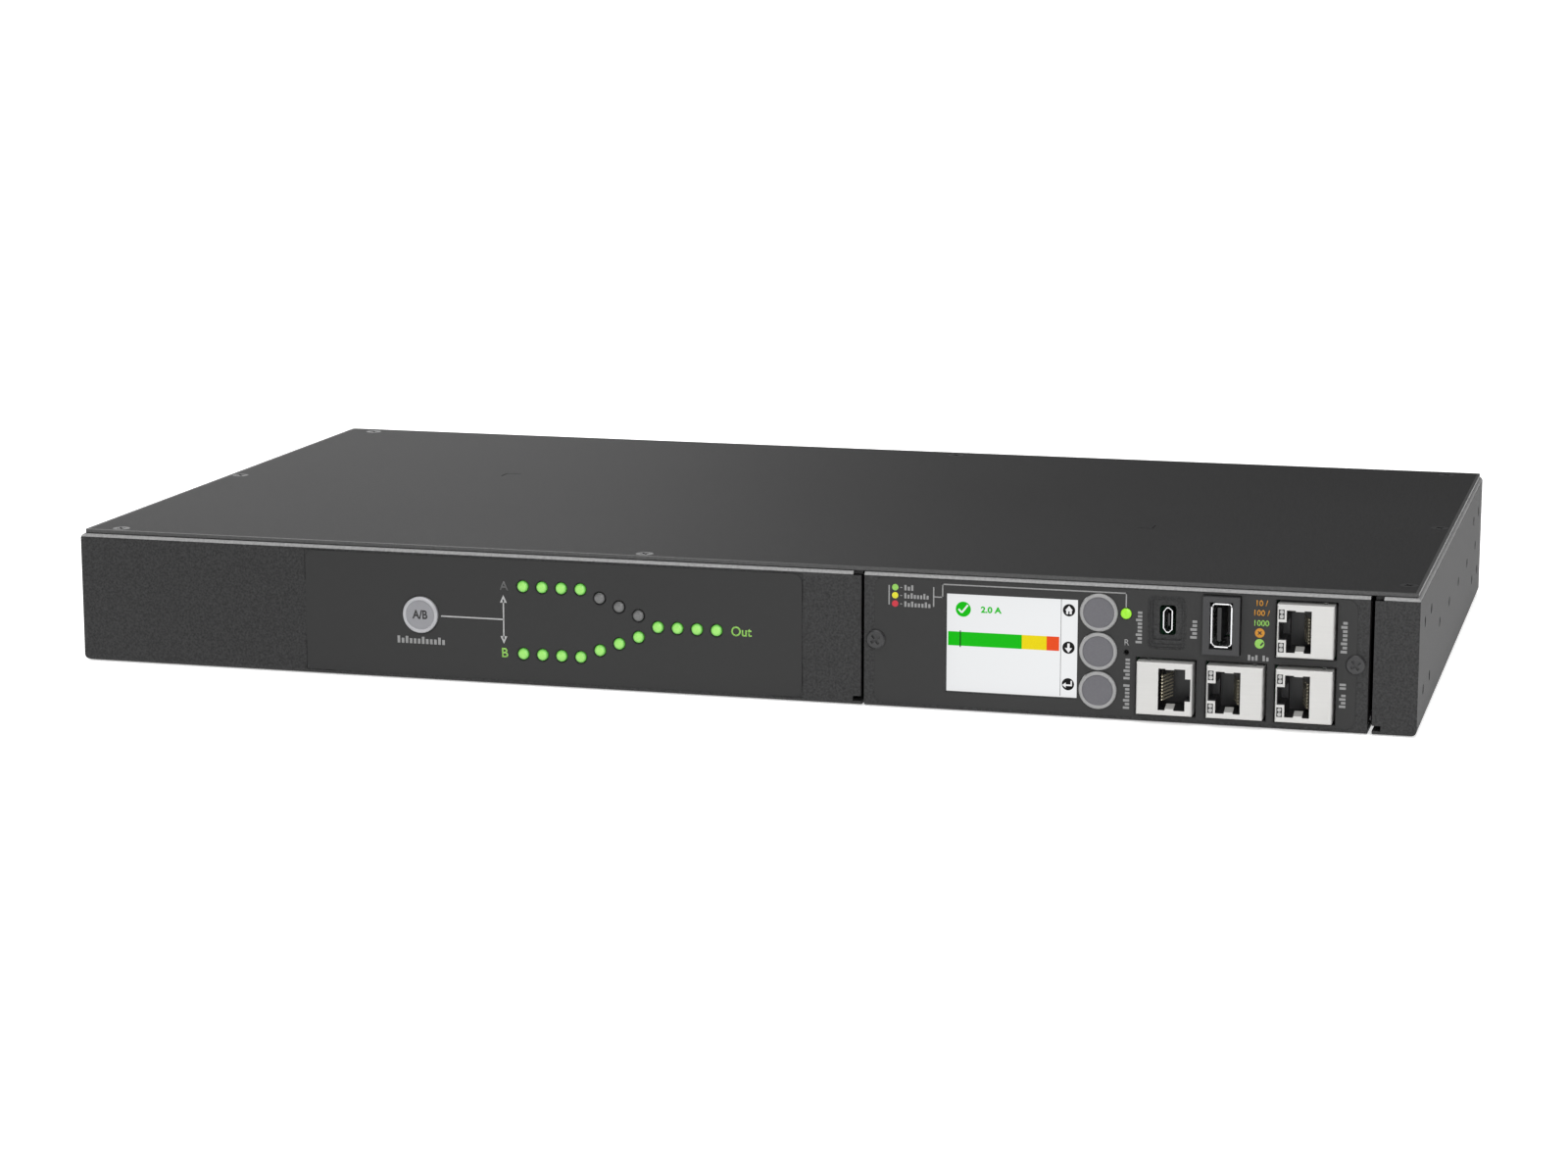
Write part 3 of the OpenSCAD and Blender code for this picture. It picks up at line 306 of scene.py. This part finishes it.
finishes = {
    "black_powder_coat": powderCoat("blackPowderCoat", 0.028, 0.58, 0.3, "chassis", 0.42),
    "cover_powder_coat": powderCoat("coverPowderCoat", 0.0225, 0.58, 0.36, "cover", 0.09),
    "label_film": printedFilm("labelFilm", 0.0215, 0.5),
    "black_screw": metal("blackOxideSteel", (0.035, 0.035, 0.036), 0.38, metallic=0.2),
    "status_lens": moulded("statusLens", (0.36, 0.9, 0.035), 0.3),
    "screen_face": litScreen("screenFace", (0.78, 0.79, 0.8), 0.3),
    "white_moulding": moulded("whiteMoulding", (0.6, 0.6, 0.58), 0.45),
    "black_moulding": moulded("blackMoulding", (0.012, 0.012, 0.013), 0.4),
    "bezel_moulding": moulded("bezelMoulding", (0.03, 0.03, 0.032), 0.5),
    "tinned_shield": metal("tinnedShield", (0.62, 0.615, 0.6), 0.48, metallic=0.45),
    "port_steel": metal("portSteel", (0.75, 0.75, 0.76), 0.25),
    "contact_gold": metal("contactGold", (0.95, 0.86, 0.66), 0.22, metallic=0.7),
    "jack_lens": moulded("jackLens", (0.5, 0.5, 0.49), 0.2),
    "circuit_board": moulded("circuitBoard", (0.02, 0.14, 0.06), 0.4),
    "chip_black": moulded("chipBlack", (0.02, 0.02, 0.022), 0.5),
    "standoff_steel": metal("standoffSteel", (0.62, 0.62, 0.64), 0.35),
    "relay_case": moulded("relayCase", (0.02, 0.02, 0.022), 0.4),
    "supply_potting": moulded("supplyPotting", (0.03, 0.03, 0.034), 0.5),
    "capacitor_sleeve": moulded("capacitorSleeve", (0.02, 0.03, 0.16), 0.3),
    "sensor_core": moulded("sensorCore", (0.03, 0.08, 0.3), 0.4),
    "fuse_ceramic": moulded("fuseCeramic", (0.7, 0.68, 0.62), 0.5),
    "terminal_green": moulded("terminalGreen", (0.03, 0.18, 0.08), 0.45),
    "flat_cable": moulded("flatCable", (0.35, 0.35, 0.38), 0.5),
    "blade_nickel": metal("bladeNickel", (0.72, 0.7, 0.64), 0.28),
    "copper_bar": metal("copperBar", (0.8, 0.42, 0.24), 0.32),
    "wire_sleeve": moulded("wireSleeve", (0.16, 0.08, 0.04), 0.45),
    "earth_brass": metal("earthBrass", (0.8, 0.62, 0.28), 0.32),
}
slotOf = {s["node"]: s["material_slot"] for s in frame["record"]["subparts"]}
special = {
    "source_a_lamps": lampLens("sourceALens", 31.9, -2.47, 4),
    "source_b_lamps": lampLens("sourceBLens", 10.2, 2.47, 7),
    "output_lamps": lampLens("outputLens", 21.1, 0, 20),
    "preference_button": roundKey("preferenceKey", "preference_button", (0.29, 0.29, 0.31), (0.52, 0.52, 0.54), 4.75),
}
for name in ("home_button", "scroll_button", "enter_button"):
    special[name] = roundKey(name.split("_")[0] + "Key", name, (0.108, 0.106, 0.122), (0.36, 0.36, 0.36), 4.75)
for name, thing in nodes.items():
    thing.data.materials.clear()
    thing.data.materials.append(special.get(name) or finishes[slotOf[name]])
print("finishes assigned")


# Printed marks
def deselect():
    bpy.ops.object.select_all(action="DESELECT")


def flatBar(x0, z0, x1, z1, turn=0):
    bpy.ops.mesh.primitive_plane_add(
        size=1, location=((x0 + x1) / 2, 0, (z0 + z1) / 2), rotation=(math.pi / 2, turn, 0)
    )
    bpy.context.object.scale = (abs(x1 - x0), abs(z1 - z0), 1)
    return bpy.context.object


def flatDot(x, z, width, corners=32, turn=0, height=None):
    bpy.ops.mesh.primitive_circle_add(
        vertices=corners, radius=0.5, fill_type="NGON", location=(x, 0, z), rotation=(math.pi / 2, turn, 0)
    )
    bpy.context.object.scale = (width, height or width, 1)
    return bpy.context.object


def flatSign(letters, x, z, height, turn=0, spread=1.0, bold=0.02):
    bpy.ops.object.text_add(location=(x, 0, z), rotation=(math.pi / 2, turn, 0))
    sign = bpy.context.object
    sign.data.body = letters
    sign.data.align_x, sign.data.align_y = "CENTER", "CENTER"
    sign.data.size = height / 0.729  # the height of a capital is 0.729 of the size
    sign.data.offset = bold * height
    sign.scale = (spread, 1, 1)
    bpy.ops.object.convert(target="MESH")
    return bpy.context.object


# A row of small blocks that stands for a caption, along x or, standing up, along z.
def flatCaption(x, z, length, height, words=1, upright=False):
    shapes = []
    pitch = height * 0.62
    count = max(3, round(length / pitch))
    pitch = length / count
    gaps = [round(count * (k + 1) / words) for k in range(words - 1)]
    for i in range(count):
        if i in gaps:
            continue
        tall = i == 0 or i - 1 in gaps or i % 4 == 2
        along = (i + 0.5) * pitch - length / 2
        half, low, high = pitch * 0.32, -height / 2, height / 2 if tall else height * 0.2
        if upright:
            shapes.append(flatBar(x - high, z + along - half, x - low, z + along + half))
        else:
            shapes.append(flatBar(x + along - half, z + low, x + along + half, z + high))
    return shapes


# Joins flat shapes into one film of ink that stands on a face looking toward -y.
def inkFilm(name, shapes, finish, y, rider=body, thickness=0.00003):
    flat = [s for group in shapes for s in (group if isinstance(group, list) else [group])]
    deselect()
    for shape in flat:
        shape.select_set(True)
    bpy.context.view_layer.objects.active = flat[0]
    if len(flat) > 1:
        bpy.ops.object.join()
    film = bpy.context.object
    film.name = name
    film.location.y = y
    bpy.ops.object.transform_apply(location=True, rotation=True, scale=True)
    spread = film.modifiers.new("inkThickness", "SOLIDIFY")
    spread.thickness, spread.offset = thickness, 1
    bpy.ops.object.modifier_apply(modifier=spread.name)
    film.data.materials.clear()
    film.data.materials.append(finish)
    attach(film, rider)
    deselect()
    return film


def ink(name, colour, lit=False, roughness=0.4):
    finish = Finish(name, colour, roughness, Specular_IOR_Level=0.02 if lit else 0.3)
    wearAndPaintedHighlight = finish.noise(2400, 2)
    shade = finish.mix(wearAndPaintedHighlight, tuple(c * 0.9 for c in colour), tuple(min(1, c * 1.08) for c in colour))
    if lit:
        finish.set("Base Color", (0.01, 0.01, 0.01, 1))
        finish.set("Emission Color", shade)
        finish.set("Emission Strength", 1)
    else:
        finish.set("Base Color", shade)
    finish.set("Roughness", roughness + (wearAndPaintedHighlight - 0.5) * 0.15)
    return finish.material


inks = {
    "pale": ink("paleInk", (0.48, 0.48, 0.48)),
    "grey": ink("greyInk", (0.32, 0.32, 0.32)),
    "dim": ink("dimInk", (0.12, 0.12, 0.12)),
    "green": ink("greenInk", (0.3, 0.62, 0.12)),
    "orange": ink("orangeInk", (0.62, 0.27, 0.03)),
    "yellow": ink("yellowInk", (0.8, 0.76, 0.04)),
    "red": ink("redInk", (0.6, 0.04, 0.06)),
    "dark": ink("darkInk", (0.03, 0.03, 0.03)),
}


def at(x):
    return leftX + x * mm


sourceMarks = {"line": (124.4, 145.4, 21.0, 0.45), "arrow": (145.4, 13.1, 28.9), "head": (2.3, 2.5)}
x0, x1, z, t = sourceMarks["line"]
arrowX, low, high = sourceMarks["arrow"]
headWidth, headHeight = sourceMarks["head"]


def arrowHead(z, turn):
    return flatDot(at(arrowX), z * mm, headWidth * 1.15 * mm, 3, turn, headHeight * 1.33 * mm)


inkFilm(
    "sourceDiagramInk",
    [
        flatBar(at(x0), (z - t / 2) * mm, at(x1), (z + t / 2) * mm),
        flatBar(at(arrowX - t / 2), (low + 1.5) * mm, at(arrowX + t / 2), (high - 1.5) * mm),
        arrowHead(high - headHeight * 0.67, 0),
        arrowHead(low + headHeight * 0.67, math.pi),
    ],
    inks["pale"],
    labelY,
)
inkFilm("sourceCaptionInk", [flatCaption(at(117.5), 12.8 * mm, 16.5 * mm, 2.3 * mm)], inks["grey"], labelY)
inkFilm("sourceAInk", [flatSign("A", at(145.6), 31.7 * mm, 3.0 * mm)], inks["dim"], labelY)
inkFilm(
    "sourceBInk",
    [flatSign("B", at(145.6), 10.1 * mm, 3.1 * mm), flatSign("Out", at(223.5), 21.0 * mm, 3.1 * mm, 0, 0.95)],
    inks["green"],
    labelY,
)
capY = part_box("preference_button")[0].y + 0.3 * mm
inkFilm(
    "preferenceButtonInk",
    [flatSign("A/B", at(117.5), 21.1 * mm, 2.8 * mm, 0, 0.85, 0.04)],
    inks["dark"],
    capY,
    "preference_key",
)
print("source label printed")

# The display module's legend, captions and signs
legend = []
for cx, cz0, cx1, cz1 in [
    (270.5, 32.2, 270.9, 38.3), (284.5, 32.2, 284.9, 38.3), (284.9, 35.1, 287.7, 35.48),
    (287.32, 35.1, 287.7, 39.55), (287.32, 39.17, 344.4, 39.55), (344.02, 35.0, 344.4, 39.55),
]:
    legend.append(flatBar(at(cx), cz0 * mm, at(cx1), cz1 * mm))
for z in (37.7, 35.2, 32.6):
    legend.append(flatBar(at(274.2), (z - 0.12) * mm, at(274.8), (z + 0.12) * mm))
inkFilm("legendInk", legend, inks["grey"], labelY)
words = [flatCaption(at(276.9), 37.7 * mm, 3.2 * mm, 1.7 * mm), flatCaption(at(279.3), 35.2 * mm, 8 * mm, 1.7 * mm)]
words.append(flatCaption(at(279.6), 32.6 * mm, 8.6 * mm, 1.7 * mm))
words.append(flatCaption(at(344.7), 11.5 * mm, 16 * mm, 1.9 * mm, 2, True))
words.append(flatCaption(at(348.2), 29.1 * mm, 10.2 * mm, 1.9 * mm, 1, True))
words.append(flatCaption(at(364.8), 29.3 * mm, 6 * mm, 2.0 * mm, 1, True))
words.append(flatCaption(at(409.8), 29.2 * mm, 10 * mm, 1.9 * mm, 1, True))
words.append(flatCaption(at(409.8), 11.5 * mm, 7.8 * mm, 1.9 * mm, 2, True))
words.append(flatCaption(at(384.4), 21.6 * mm, 6.6 * mm, 1.7 * mm, 2))
words.append(flatSign("R", at(344.5), 24.2 * mm, 1.9 * mm))
inkFilm("portCaptionInk", words, inks["grey"], labelY)
for name, tone, z in (("good", "green", 37.7), ("warning", "yellow", 35.2), ("overload", "red", 32.6)):
    inkFilm(name + "LegendInk", [flatDot(at(272.6), z * mm, 2.0 * mm)], inks[tone], labelY)
inkFilm(
    "orangeSpeedInk",
    [flatSign("10 /", at(385), 38.3 * mm, 1.8 * mm), flatSign("100 /", at(385), 35.3 * mm, 1.8 * mm),
     flatDot(at(384.7), 29.3 * mm, 2.9 * mm)],
    inks["orange"],
    labelY,
)
inkFilm(
    "greenSpeedInk",
    [flatSign("1000", at(385), 32.2 * mm, 1.8 * mm), flatDot(at(384.7), 26.0 * mm, 2.9 * mm)],
    inks["green"],
    labelY,
)
signs = []
for turn in (math.pi / 4, -math.pi / 4):
    signs.append(flatBar(at(384.7 - 0.75), (29.3 - 0.17) * mm, at(384.7 + 0.75), (29.3 + 0.17) * mm, turn))
signs.append(flatBar(at(384.75), (25.85 - 0.17) * mm, at(386.05), (25.85 + 0.35) * mm, math.radians(-50)))
inkFilm("speedSignInk", signs, inks["dark"], labelY - 0.03 * mm)
print("control label printed")

# What the lit screen shows
screenLook = {"shift": (-0.65, -0.6)}


def onScreen(x, z):
    return at(x + screenLook["shift"][0]), (z + screenLook["shift"][1]) * mm


def screenBar(x0, z0, x1, z1, turn=0):
    return flatBar(*onScreen(x0, z0), *onScreen(x1, z1), turn)


screenInks = {
    "green": ink("screenGreen", (0.003, 0.5, 0.002), True),
    "yellow": ink("screenYellow", (0.84, 0.68, 0.003), True),
    "red": ink("screenRed", (0.82, 0.075, 0.012), True),
    "black": ink("screenBlack", (0.004, 0.004, 0.004), True),
    "white": ink("screenWhite", (0.85, 0.85, 0.86), True),
    "grey": ink("screenGrey", (0.3, 0.3, 0.3)),
}
inkFilm(
    "screenGreenField",
    [screenBar(289.25, 20.4, 312.3, 24.8), flatDot(*onScreen(293.95, 31.86), 4.75 * mm),
     flatSign("2.0 A", *onScreen(302.6, 31.9), 1.9 * mm, 0, 1.12, 0.05)],
    screenInks["green"], screenY,
)
inkFilm("screenYellowField", [screenBar(312.3, 20.4, 320.0, 24.8)], screenInks["yellow"], screenY)
inkFilm("screenRedField", [screenBar(320.0, 20.4, 323.9, 24.8)], screenInks["red"], screenY)
inkFilm("screenSideLine", [screenBar(324.3, 6.5, 324.5, 36.5)], screenInks["grey"], screenY)
black = [flatDot(*onScreen(326.8, z), 3.8 * mm) for z in (33.2, 21.6, 10.2)]
black.append(screenBar(292.93, 20.0, 293.27, 25.2))
inkFilm("screenBlackSigns", black, screenInks["black"], screenY - 0.02 * mm)
inkFilm(
    "screenWhiteSigns",
    [
        screenBar(292.25, 31.05, 293.75, 31.6, math.radians(45)),
        screenBar(292.9, 31.75, 296.0, 32.3, math.radians(-52)),
        flatDot(*onScreen(326.8, 33.65), 2.7 * mm, 3, 0, 1.9 * mm), screenBar(325.95, 32.0, 326.6, 33.5),
        screenBar(327.0, 32.0, 327.65, 33.5), screenBar(325.95, 32.9, 327.65, 33.5),
        screenBar(326.45, 21.3, 327.15, 22.9), flatDot(*onScreen(326.8, 21.0), 2.6 * mm, 3, math.pi, 1.9 * mm),
        screenBar(325.9, 9.65, 328.05, 10.15), screenBar(327.6, 9.65, 328.05, 11.3),
        flatDot(*onScreen(325.75, 9.9), 1.9 * mm, 3, -math.pi / 2, 1.5 * mm),
    ],
    screenInks["white"], screenY - 0.05 * mm,
)
print("screen drawn")

# Light and floor

studio = {
    "world": 0.16,
    "floor": 0.85,
    "glow": (0.42, 1.0),  # how much white the floor shows by itself, in contact shade and clear of it
    "contact": 0.016,  # how far the contact shade reaches
    "lights": [
        ("overheadLight", (-0.1, -0.9, 2.0), (0, 0, 0), 2.0, 1.6, 24),
        ("sweepLight", (-1.25, 1.95, 0.65), (0, 0, 0.04), 1.4, 1.1, 7),
        ("frontLight", (0.9, -2.3, 0.9), (0, 0, 0), 1.6, 1.2, 30),
    ],
}

world = bpy.data.worlds.new("studioWorld")
bpy.context.scene.world = world
world.use_nodes = True
world.node_tree.nodes["Background"].inputs["Color"].default_value = (1, 1, 1, 1)
world.node_tree.nodes["Background"].inputs["Strength"].default_value = studio["world"]

for name, place, target, width, depth, power in studio["lights"]:
    turn = (Vector(target) - Vector(place)).to_track_quat("-Z", "Y").to_euler()
    bpy.ops.object.light_add(type="AREA", location=place, rotation=turn)
    light = bpy.context.object
    light.name = name
    light.data.shape = "RECTANGLE"
    light.data.size, light.data.size_y = width, depth
    light.data.energy = power
    light.visible_camera = False

floorFinish = Finish("paleFloor", (studio["floor"],) * 3, 0.7, Specular_IOR_Level=0.1)
cloud = floorFinish.noise(3, 2)
floorFinish.set("Base Color", floorFinish.mix(cloud, (studio["floor"] * 0.99,) * 3, (studio["floor"] * 1.01,) * 3))
rays = floorFinish.add("ShaderNodeLightPath")
seen = (rays["Is Camera Ray"] + rays["Is Glossy Ray"] + rays["Is Transmission Ray"]).clamped()
shade = floorFinish.add(
    "ShaderNodeAmbientOcclusion", {"samples": 8}, {"Color": (1, 1, 1, 1), "Distance": studio["contact"]}
)["AO"]
near, away = studio["glow"]
strength = seen * (near + shade * (away - near))
glow = floorFinish.add("ShaderNodeEmission", {}, {"Color": (1, 1, 1, 1), "Strength": strength})[0]
both = floorFinish.add("ShaderNodeAddShader", {}, {0: Wire(floorFinish, floorFinish.shader.outputs[0]), 1: glow})[0]
floorFinish.tree.links.new(both.socket, floorFinish.tree.nodes["Material Output"].inputs[0])
bpy.ops.mesh.primitive_plane_add(size=60, location=(0, 0, -0.0003))
floor = bpy.context.object
floor.name = "studioFloor"
floor.data.materials.append(floorFinish.material)
print("studio ready")
